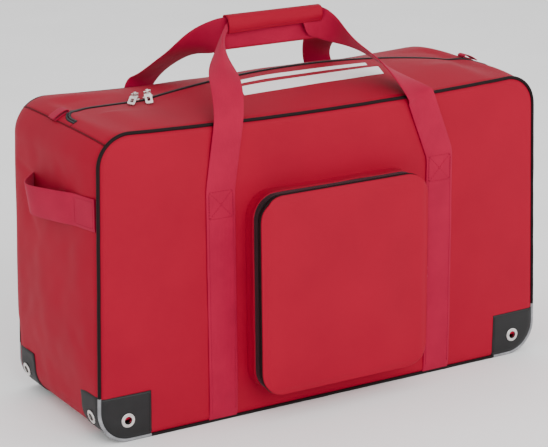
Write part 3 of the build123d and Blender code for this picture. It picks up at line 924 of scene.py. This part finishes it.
def face_patch(face, side, name):
    """The part of a vinyl corner that lies on the front or back."""
    z = np.array([h for h in panel_rows() if h < PATCH_Z - 0.002] + [PATCH_Z])[:, None]
    x = PATCH_X + (wall_reach(z) - PATCH_X) * np.linspace(0, 1, 26)
    rim = np.minimum(x - PATCH_X, PATCH_Z - z)
    y = face * (face_out(x, z, PANEL_SEEDS[face]) + 0.0013 - dip(0.0009, PATCH_RIM, rim))
    piece = Piece()
    piece.grid(join(side * x, y, z), join(x, z), turn=face * side > 0)
    piece.punch(eyelet_places("face", (side,), (face,)))
    obj = piece.make(f"corner_face_{name}", VINYL, PATCH_THICK)
    place(obj, "bag", "corner_vinyl", f"corner_patch_{name}")


def end_patch(face, side, name):
    """The part of a vinyl corner that lies on the end."""
    profile = end_profile()
    profile = profile[profile[:, 1] < END_PATCH_Z]
    x, z = profile[:, :1], profile[:, 1:]
    y = np.linspace(END_PATCH_Y, GUSSET - 0.0005, 20)[None, :]
    rim = np.minimum(y - END_PATCH_Y, END_PATCH_Z - z)
    proud = 0.0015 - dip(0.0010, PATCH_RIM, rim) - dip(*END_TURN, GUSSET - y)
    turn = np.clip(np.arctan2(z - BASE_Z, x - BASE_X), -math.pi / 2, 0)
    points = swell(join(side * x, face * y, z))
    points[..., 0] += side * np.cos(turn) * proud
    points[..., 2] += np.sin(turn) * proud * smooth(FOOT, 0.012, z)
    piece = Piece()
    piece.grid(points, join(y, z), turn=face * side < 0)
    piece.punch(eyelet_places("end", (side,), (face,)))
    place(piece.make(f"corner_end_{name}", END_VINYL, PATCH_THICK), "bag", "corner_vinyl")


def patch_stitches(face, side, name):
    """Stitches along the two free edges of the part on the front or back."""
    seam, inset, count = Piece(), 0.0035, 30
    right, top = PATCH_X + inset, PATCH_Z - inset
    over = np.linspace(right, wall_reach(np.array(PATCH_Z)) - 0.006, count)
    rise = np.linspace(0.010, top, count)
    for x, z in ((over, np.full(count, top)), (np.full(count, right), rise)):
        y = face * (face_out(x, z, PANEL_SEEDS[face]) + 0.0014)
        stitches(seam, join(side * x, y, z), (0, face, 0))
    place(seam.make(f"corner_stitches_{name}", DARK_THREAD), "bag", "corner_vinyl")


def patches():
    """Vinyl corners: each bottom corner has a part on its face and a part on its end."""
    for face, depth_name in FACES:
        for side, side_name in SIDES:
            for part in (face_patch, end_patch, patch_stitches):
                part(face, side, f"{depth_name}_{side_name}")


# ---------------------------------------------------------------- zips

def plan_path(offset):
    """The main zip's path in plan, moved outwards by offset."""
    x, back, radius = ZIP_HALF + offset, RIDGE_Y + offset, ZIP_CORNER + offset
    points = [(-x, y) for y in np.linspace(HINGE_Y, back - radius, 6, endpoint=False)]
    points += [(-x + radius - radius * math.cos(t), back - radius + radius * math.sin(t))
               for t in np.linspace(0, math.pi / 2, 24, endpoint=False)]
    points += [(v, back) for v in np.linspace(radius - x, x - radius, 150, endpoint=False)]
    points += [(x - radius + radius * math.sin(t), back - radius + radius * math.cos(t))
               for t in np.linspace(0, math.pi / 2, 24, endpoint=False)]
    points += [(x, y) for y in np.linspace(back - radius, HINGE_Y, 7)]
    return np.array(points)


def main_zip():
    """Tape and coil of the main zip, half on the flap and half on the body."""
    middle = plan_path(0.0)
    centre = top_point(middle[:, 0], middle[:, 1])
    for side, body, name in ((-1, "top_flap", "flap"), (1, "bag", "body")):
        inner, outer = plan_path(side * 0.0004), plan_path(side * (TAPE + 0.002))
        rows = (inner, (inner + outer) / 2, outer)
        tape = np.stack([top_point(row[:, 0], row[:, 1], -TAPE_DROP) for row in rows])
        piece = Piece()
        piece.grid(tape, turn=side > 0)
        obj = piece.make(f"main_zip_tape_{name}", DARK_TAPE, 0.0008)
        place(obj, body, "zip_tape", f"zip_tape_{name}")
        line = plan_path(side * (0.0003 + COIL / 2))
        path = top_point(line[:, 0], line[:, 1], 0.0003)
        inward = unit(centre - path)
        normals = np.cross(directions(path), inward)
        normals = normals * np.sign(normals[:, 2:])
        piece = Piece()
        zip_teeth(piece, path, normals, inward, tall=1.6)
        place(piece.make(f"main_zip_coil_{name}", ZIP_COIL), body, "zip_coil", f"zip_coil_{name}")


def zip_tabs():
    """Short folded webbing tabs beside the zip's ends, lying on the rounded top corners."""
    seam, inner = SEAM_TURN + 0.02, SEAM_TURN - 0.36
    under, over = 0.0012, 0.0058
    middle, round_off = (under + over) / 2, (over - under) / 2
    folded = [(t, under) for t in np.linspace(seam, inner, 7)]
    folded += [(inner - round_off * math.sin(t) / RADIUS, middle - round_off * math.cos(t))
               for t in np.linspace(0.3, math.pi - 0.3, 7)]
    folded += [(t, over) for t in np.linspace(inner, seam, 7)]
    for side, name in SIDES:
        low_end, high_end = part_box(f"zip_tab_{name}")
        y = (low_end.y + high_end.y) / 2
        line = []
        for turn, lift in folded:
            x, z = CORNER_X + RADIUS * math.sin(turn), CORNER_Z + RADIUS * math.cos(turn)
            out = np.array([side * math.sin(turn), 0, math.cos(turn)])
            line.append(swell(np.array([side * x, y, z])) + lift * out)
        piece = Piece()
        across = np.tile([0.0, 1.0, 0.0], (len(line), 1))
        webbing(piece, np.array(line), across, high_end.y - low_end.y, 0.0015)
        place(piece.make(f"zip_end_tab_{name}", WEBBING), "bag", "webbing", f"zip_tab_{name}")


# ---------------------------------------------------------------- handles

def bezier(points, t):
    """Cubic through four control points."""
    p0, p1, p2, p3 = (np.array(p, float) for p in points)
    t = t[:, None]
    return p0 * (1 - t) ** 3 + 3 * p1 * t * (1 - t) ** 2 + 3 * p2 * t * t * (1 - t) + p3 * t ** 3


def leg_line(x, face, count=60):
    """The sewn part of the webbing, following the panel up from the base."""
    x = np.full(count, x)
    z = np.linspace(FOOT + 0.002, LEG_TOP - 0.004, count)
    out = face_out(x, z, PANEL_SEEDS[face]) + STRAP_THICK / 2 + 0.0002
    tight = smooth(LEG_TOP - 0.05, LEG_TOP, z)
    out = out * (1 - tight) + (HANDLE_Y - 0.0006) * tight
    return join(x, face * out, z)


def handle_line(face):
    """One whole length of webbing, leg to leg: its centres, width directions and lengthwise folds."""
    y = face * HANDLE_Y
    t = np.linspace(0.02, 1, 40)
    level, down = np.array([1.0, 0, 0]), np.array([0, 0, -1.0])
    # control points of each side's curve; its width lies along turns at the share times of the curve,
    # and along ends at the grip, where it is folded lengthwise by the angle in creases
    if face < 0:
        left = [(-0.180, y, 0.470), (-0.173, y, 0.532), (-0.152, -0.060, 0.566), (GRIP_LEFT, -0.0040, 0.5935)]
        right = [(0.167, y, 0.470), (0.160, y, 0.486), (0.118, -0.040, 0.545), (GRIP_RIGHT, -0.0045, GRIP_Z)]
        turns, creases = ((0.74, -0.62, -0.27), (0.69, 0.51, -0.52)), (-1.40, 0.0)
        ends, times = (np.array([0.0, -1.0, -0.1]), down), (0.85, 0.62)
    else:
        left = [(-0.176, y, 0.470), (-0.150, y, 0.500), (-0.128, 0.060, 0.552), (GRIP_LEFT, 0.0020, GRIP_Z)]
        right = [(0.167, y, 0.470), (0.150, y, 0.512), (0.122, 0.030, 0.572), (GRIP_RIGHT, 0.0020, GRIP_Z)]
        turns, creases = ((0.45, 0.75, -0.50), (0.45, -0.30, -0.83)), (0.0, 0.0)
        ends, times = (down, down), (0.50, 0.80)
    parts = []
    plans = zip((left, right), (LEFT_LEG, RIGHT_LEG), turns, creases, ends, times)
    for points, leg_x, turn, fold, end, time in plans:
        leg = leg_line(leg_x, face)
        start = leg[-1]
        rise = start + (np.array(points[0]) - start) * np.linspace(0, 1, 22)[1:, None]
        flat = np.tile(level, (len(leg) + len(rise), 1))
        half = smooth(0.02, time, t)[:, None]
        last = smooth(time, 1.05, t)[:, None]
        twist = (level * (1 - half) + np.array(turn) * half) * (1 - last) + end * last
        folded = np.concatenate([np.zeros(len(flat)), fold * smooth(0.25, 0.95, t)])
        parts.append((np.concatenate([leg, rise, bezier(points, t)]), np.concatenate([flat, twist]), folded))
    share = np.linspace(0, 1, 40)[1:-1, None]
    ease = smooth(0.80, 1.0, share) if face < 0 else smooth(0.0, 1.0, share)
    (left_line, left_wide, left_fold), (right_line, right_wide, right_fold) = parts
    bar = left_line[-1] * (1 - share) + right_line[-1] * share
    bar[:, 2:] = left_line[-1, 2] * (1 - ease) + right_line[-1, 2] * ease
    wide = left_wide[-1] * (1 - ease) + right_wide[-1] * ease
    fold = (left_fold[-1] * (1 - ease) + right_fold[-1] * ease)[:, 0]
    centres = np.concatenate([left_line, bar, right_line[::-1]])
    wides = np.concatenate([left_wide, wide, right_wide[::-1]])
    return centres, relax(wides, 4), np.concatenate([left_fold, fold, right_fold[::-1]])


def box_stitch(piece, x, low, high, y, normal):
    """A sewn box with a cross in it, on the webbing."""
    half = STRAP / 2 - STITCH_INSET
    corners = [(x - half, low), (x + half, low), (x + half, high), (x - half, high)]
    lines = [(corners[i], corners[(i + 1) % 4]) for i in range(4)]
    lines += [(corners[0], corners[2]), (corners[1], corners[3])]
    for (x0, z0), (x1, z1) in lines:
        t = np.linspace(0, 1, 20)
        xs, zs = x0 + (x1 - x0) * t, z0 + (z1 - z0) * t
        stitches(piece, join(xs, np.interp(zs, y[1], y[0]), zs), normal)


def carry_handles():
    """Each handle is one length of webbing, sewn down as two legs and loose above them."""
    for face, name in FACES:
        centres, wides, folds = handle_line(face)
        piece = Piece()
        webbing(piece, relax(centres, 3), wides, folds=folds)
        obj = piece.make(f"carry_webbing_{name}", WEBBING)
        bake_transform(obj)
        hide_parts(f"sewn_straps_{name}", f"carry_handle_{name}")
        seam = Piece()
        for x in (LEFT_LEG, RIGHT_LEG):
            line = leg_line(x, face)
            surface = line[:, 1] + face * STRAP_THICK / 2
            for side in (-1, 1):
                edge = line.copy()
                edge[:, 0] += side * (STRAP / 2 - 0.004)
                edge[:, 1] = surface
                stitches(seam, edge[2:-1], (0, face, 0))
            box_stitch(seam, x, LEG_TOP - 0.048, LEG_TOP - 0.006, (surface, line[:, 2]), (0, face, 0))
        place(seam.make(f"handle_stitches_{name}", THREAD), "bag", "webbing")


def grip_wraps():
    """The padded wrap that closes round both handles: a rolled lip in front, a flap behind."""
    x = np.linspace(GRIP_LEFT - 0.002, GRIP_RIGHT + 0.002, 60)
    share = (x - GRIP_LEFT) / (GRIP_RIGHT - GRIP_LEFT)
    inner, roll = 0.0004, 0.003                   # clear of the webbing, and the hem's own rounding
    # each side's hem height, the lip's rise and reach, and how far its belly stands out
    shapes = ((0.5745, 0.0075, 0.0105, 0.0020), (0.548, 0.0042, 0.0062, 0.0010))
    for (face, name), (low, proud, reach, belly) in zip(FACES, shapes):
        top = WRAP_TOP - proud
        profile = [(inner + reach * math.sin(t), top + proud * math.cos(t))
                   for t in np.linspace(0, math.pi / 2, 10)]
        profile += [(inner + reach + belly * math.sin(math.pi * s) - 0.0010 * s, top + (low + roll - top) * s)
                    for s in np.linspace(0, 1, 12)[1:]]
        edge = len(profile) - 2
        profile += [(reach - 0.0006 - 0.0040 * (1 - math.cos(t)), low + roll - roll * math.sin(t))
                    for t in np.linspace(0.3, math.pi / 2, 5)]
        profile = np.array(profile)
        y, z = profile[:, :1], profile[:, 1:]
        pull = 0.0012 * ripple(x, z, 0.05, 71 + face) + 0.0010 * np.cos(2 * math.pi * share)
        weight = smooth(0.001, 0.006, y)
        tilt = 0.0035 * share * weight * smooth(top, low, z)
        points = join(x, face * (y + pull * weight * 0.7), z + tilt)
        piece = Piece()
        piece.grid(points, turn=face < 0)
        obj = piece.make(f"grip_cover_{name}", LINING, 0.0020)
        place(obj, f"carry_handle_{name}", "wrap_fabric", f"grip_wrap_{name}")
        seam = Piece()
        line = points[edge] + np.array([0, face * 0.0003, 0])
        stitches(seam, line[2:-2], (0, face, 0))
        place(seam.make(f"grip_stitches_{name}", THREAD), f"carry_handle_{name}", "wrap_fabric")


def end_handles():
    """A webbing grab handle across each end, standing out in the middle."""
    y = np.linspace(-0.140, 0.112, 90)
    lift = relax(np.interp(y, (-0.092, -0.004, 0.014, 0.050, 0.066), (0, 0.95, 1, 0.12, 0)), 12)
    tucked = smooth(0.020, 0.075, y)              # the back part disappears in a fold of the fabric
    z = (GRAB_LOW + GRAB_HIGH) / 2
    reach = float(wall_reach(np.array(z)))
    half = STRAP / 2 - STITCH_INSET
    for side, name in SIDES:
        wall = swell(join(side * reach, y, z))
        flat = np.abs(wall[:, 0]) * (1 - tucked) + reach * tucked + STRAP_THICK / 2 + 0.0008
        x = flat * (1 - lift) + (reach + GRAB_PROUD) * lift
        centres = join(side * x, y, z - 0.004 * lift)
        piece = Piece()
        webbing(piece, centres, join(side * 0.16 * lift, 0.0, 1.0))
        place(piece.make(f"grab_webbing_{name}", WEBBING), "bag", "webbing", f"end_handle_{name}")
        seam = Piece()
        outer = centres + np.array([side * STRAP_THICK / 2, 0, 0])
        for start, end in ((1, 16), (70, 88)):
            for edge in (-half, half):
                stitches(seam, outer[start:end] + np.array([0, 0, edge]), (side, 0, 0))
            for at in (start, end):
                line = np.repeat(outer[at:at + 1], 12, axis=0)
                line[:, 2] += np.linspace(-half, half, 12)
                stitches(seam, line, (side, 0, 0))
        place(seam.make(f"grab_stitches_{name}", THREAD), "bag", "webbing")


# ---------------------------------------------------------------- front pocket

def pocket_ring(inset=0.0, corner_steps=14, side_steps=34):
    """The pocket's outline as (x, z), from the bottom middle round by the right."""
    radius = POCKET_CORNER - inset
    half, low, high = POCKET_HALF - inset, POCKET_LOW + inset, POCKET_HIGH - inset
    cx, z0, z1 = half - radius, low + radius, high - radius
    points = [(x, low) for x in np.linspace(0, cx, side_steps // 2, endpoint=False)]
    points += [(cx + radius * math.sin(t), z0 - radius * math.cos(t))
               for t in np.linspace(0, math.pi / 2, corner_steps, endpoint=False)]
    points += [(half, z) for z in np.linspace(z0, z1, side_steps, endpoint=False)]
    points += [(cx + radius * math.cos(t), z1 + radius * math.sin(t))
               for t in np.linspace(0, math.pi / 2, corner_steps, endpoint=False)]
    points += [(x, high) for x in np.linspace(cx, 0, side_steps // 2, endpoint=False)]
    return whole_ring(np.array(points), (0, high))


def outward(ring, closed=True):
    """Outward direction at each point of a ring, or of an open run of one."""
    run = directions(ring, closed)
    return join(run[:, 1], -run[:, 0])


def side_band(piece, depths, insets, ring, seed, around=True, wave=0.0008):
    """A band of cloth round the pocket, through rows at several depths."""
    out = outward(ring)
    along = lengths(ring)
    rows = []
    for depth, inset in zip(depths, insets):
        soft = wave * ripple(along, depth * 3, 0.09, seed)
        spot = ring + out * (soft - inset)[:, None]
        rows.append(join(spot[:, 0], -depth, spot[:, 1]))
    over = np.append(along, along[-1] + np.linalg.norm(ring[0] - ring[-1])) if around else along
    piece.grid(np.array(rows), join(over, np.array(depths)[:, None]), around=around, turn=True)


def pocket_sides(ring):
    """The pocket's soft side all round, and its floor."""
    piece = Piece()
    hollow = 0.0018 * np.sin(math.pi * np.linspace(0, 1, 9))
    side_band(piece, np.linspace(HALF_DEPTH - 0.001, GUSSET_BAND, 9), hollow, ring, 81)
    bottom = ring[ring[:, 1] < POCKET_LOW + 0.0005]
    bottom = bottom[np.argsort(bottom[:, 0])]
    depths = np.linspace(GUSSET_BAND, POCKET_FRONT - 0.0025, 7)[:, None]
    piece.grid(join(bottom[:, 0], -depths, bottom[:, 1]))
    place(piece.make("pocket_side", FABRIC, 0.0022), "bag", "bag_fabric", "pocket_gusset")


def pocket_zip(ring):
    """The zip band round three sides of the pocket: tape and coil, on the bag and on the front."""
    above = np.flatnonzero(ring[:, 1] > POCKET_LOW + 0.0066)
    upper = ring[above[0]:above[-1] + 1]
    out = outward(upper, closed=False)
    line = upper - out * 0.0008
    normals = join(out[:, 0], 0.0, out[:, 1])
    insets = (0.0008, 0.0012, 0.0014, 0.0014, 0.0012)
    # each half's body, the depths of its tape's two edges and of its coil, and where its teeth point
    halves = (
        ("body", "bag", GUSSET_BAND - 0.001, POCKET_TAPE + 0.0006, POCKET_TAPE + 0.0003 + COIL / 2, -1.0),
        ("cover", "pocket_cover", COIL_OUT - 0.0006, POCKET_FRONT - 0.0022,
         COIL_OUT - 0.0003 - COIL / 2, 1.0),
    )
    for name, body, near, away, depth, toward in halves:
        tape = Piece()
        side_band(tape, np.linspace(near, away, 5), insets, upper, 83, around=False, wave=0.0002)
        obj = tape.make(f"pocket_zip_tape_{name}", DARK_TAPE, 0.0014)
        place(obj, body, "zip_tape", f"pocket_tape_{name}")
        teeth = Piece()
        inward = np.tile([0.0, toward, 0.0], (len(line), 1))
        zip_teeth(teeth, join(line[:, 0], -depth, line[:, 1]), normals, inward, 0.0018)
        place(teeth.make(f"pocket_zip_coil_{name}", ZIP_COIL), body, "zip_coil", f"pocket_coil_{name}")


def pocket_front(ring):
    """The padded front that folds down, and its piping."""
    shares = (0.0, 0.05, 0.12, 0.25, 0.4, 0.55, 0.7, 0.8, 0.86, 0.9, 0.93, 0.955, 0.975, 0.99, 1.0)
    middle = np.array([0.0, (POCKET_LOW + POCKET_HIGH) / 2])
    spots = middle + (pocket_ring(-0.0014) - middle) * np.array(shares)[:, None, None]
    x, z = spots[..., 0], spots[..., 1]
    inside = np.minimum(POCKET_HALF - np.abs(x), np.minimum(z - POCKET_LOW, POCKET_HIGH - z))
    full = 0.0045 * smooth(0, 0.10, inside) + 0.0007 * ripple(x, z, 0.12, 85)
    out = POCKET_FRONT - 0.0002 + full * smooth(0, 0.02, inside) - dip(0.0030, 0.012, inside)
    marks = join(x, z)
    piece = Piece()
    piece.grid(join(x, -out, z), np.concatenate([marks, marks[:, :1]], axis=1), around=True)
    obj = piece.make("pocket_front_fabric", FABRIC, PANEL * 0.9, weld=True)
    place(obj, "pocket_cover", "bag_fabric", "pocket_cover")

    cord = Piece()
    wobble = 0.0004 * ripple(ring[:, 0], ring[:, 1], 0.06, 87)
    points = join(ring[:, 0], -(POCKET_FRONT - 0.0052) + wobble, ring[:, 1])
    tube(cord, points, 0.0026, closed=True)
    place(cord.make("pocket_piping_cord", PIPING), "pocket_cover", "black_piping", "pocket_piping")


def pocket():
    """The front pocket: soft sides, a zip band round three sides, and a piped front that folds down."""
    ring = pocket_ring()
    pocket_sides(ring)
    pocket_zip(ring)
    pocket_front(ring)


# ---------------------------------------------------------------- print on the top

def top_print():
    """Two plain white stripes across the middle of the top, leaning at their ends."""
    piece = Piece()
    for y0, y1 in ((-0.058, -0.022), (-0.010, 0.004)):
        x, y = np.meshgrid(np.linspace(-0.098, 0.160, 80), np.linspace(y0, y1, 24))
        x = x + (y - y0) * 0.35
        piece.grid(top_point(x, y, PRINT_LIFT), join(x, y))
    bend_at_fold(piece.make("top_stripes", PRINT))


# ---------------------------------------------------------------- carried-over parts

def finish_parts():
    """Metal, binding and board keep their shapes and get their finishes."""
    finishes = {
        ZIP_METAL: ("main_slider_left", "main_slider_right", "main_pull_left", "main_pull_right"),
        SMALL_METAL: ("pocket_slider_upper", "pocket_slider_lower", "pocket_pull_upper", "pocket_pull_lower"),
        EYELET_METAL: ("eyelets",),
        BINDING: ("seam_binding_front", "seam_binding_back"),
        BOARD: ("base_board",),
    }
    for material, names in finishes.items():
        for name in names:
            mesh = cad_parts[name].data
            mesh.materials.clear()
            mesh.materials.append(material)


# ---------------------------------------------------------------- stage

def studio():
    """Pale floor, soft even light and the camera."""
    ends = (-14.0, 14.0)
    ground = Piece()
    ground.grid(np.array([[(x, y, 0.0) for x in ends] for y in ends]))
    paint = Paint("floor", 0.9, specular=0.2)
    tone = paint.noise(3.0, 2.0)
    pale = paint.colour(tone, (0.3, (0.93, 0.93, 0.93)), (0.7, (0.96, 0.96, 0.96)))
    ground.make("floor", paint.finish(pale))

    world = bpy.data.worlds.new("studio")
    world.use_nodes = True
    world.node_tree.nodes["Background"].inputs["Color"].default_value = (1, 1, 1, 1)
    world.node_tree.nodes["Background"].inputs["Strength"].default_value = 1.15
    bpy.context.scene.world = world
    lamps = (                                     # name, place, size, watts
        ("key", (-0.4, -3.4, 1.9), 2.4, 102),
        ("fill", (2.6, -2.6, 1.6), 2.4, 36),
        ("side", (-3.2, -0.4, 1.0), 2.2, 20),
        ("top", (0.2, 1.6, 3.4), 2.4, 14),
    )
    for name, spot, size, power in lamps:
        data = bpy.data.lights.new(name, "AREA")
        data.size = size
        data.energy = power
        lamp = add_object(name, data)
        lamp.location = spot
        lamp.rotation_mode = "QUATERNION"
        lamp.rotation_quaternion = (Vector((0, 0, 0.25)) - Vector(spot)).to_track_quat("-Z", "Y")

    # the photograph's viewing angle
    azimuth, elevation, roll = (math.radians(v) for v in (30.31, 16.52, -0.593))
    target, distance = Vector((-0.02425, 0.0, 0.2564)), 3.2067
    ahead = Vector((math.sin(azimuth) * math.cos(elevation), math.cos(azimuth) * math.cos(elevation),
                    -math.sin(elevation)))
    level = Vector((math.cos(azimuth), -math.sin(azimuth), 0))
    above = level.cross(ahead)
    right = level * math.cos(roll) + above * math.sin(roll)
    up = right.cross(ahead)
    data = bpy.data.cameras.new("camera")
    data.lens = 130.1
    data.sensor_width = 36.0
    data.shift_x = 0.0109
    data.shift_y = -0.0026
    camera = add_object("camera", data)
    camera.matrix_world = Matrix.Translation(target - ahead * distance) \
        @ Matrix((right, up, -ahead)).transposed().to_4x4()
    bpy.context.scene.camera = camera


studio()
face_panels()
end_panels()
top_front()
top_back()
seam_ridges()
base()
piping()
patches()
main_zip()
zip_tabs()
carry_handles()
grip_wraps()
end_handles()
pocket()
top_print()
finish_parts()
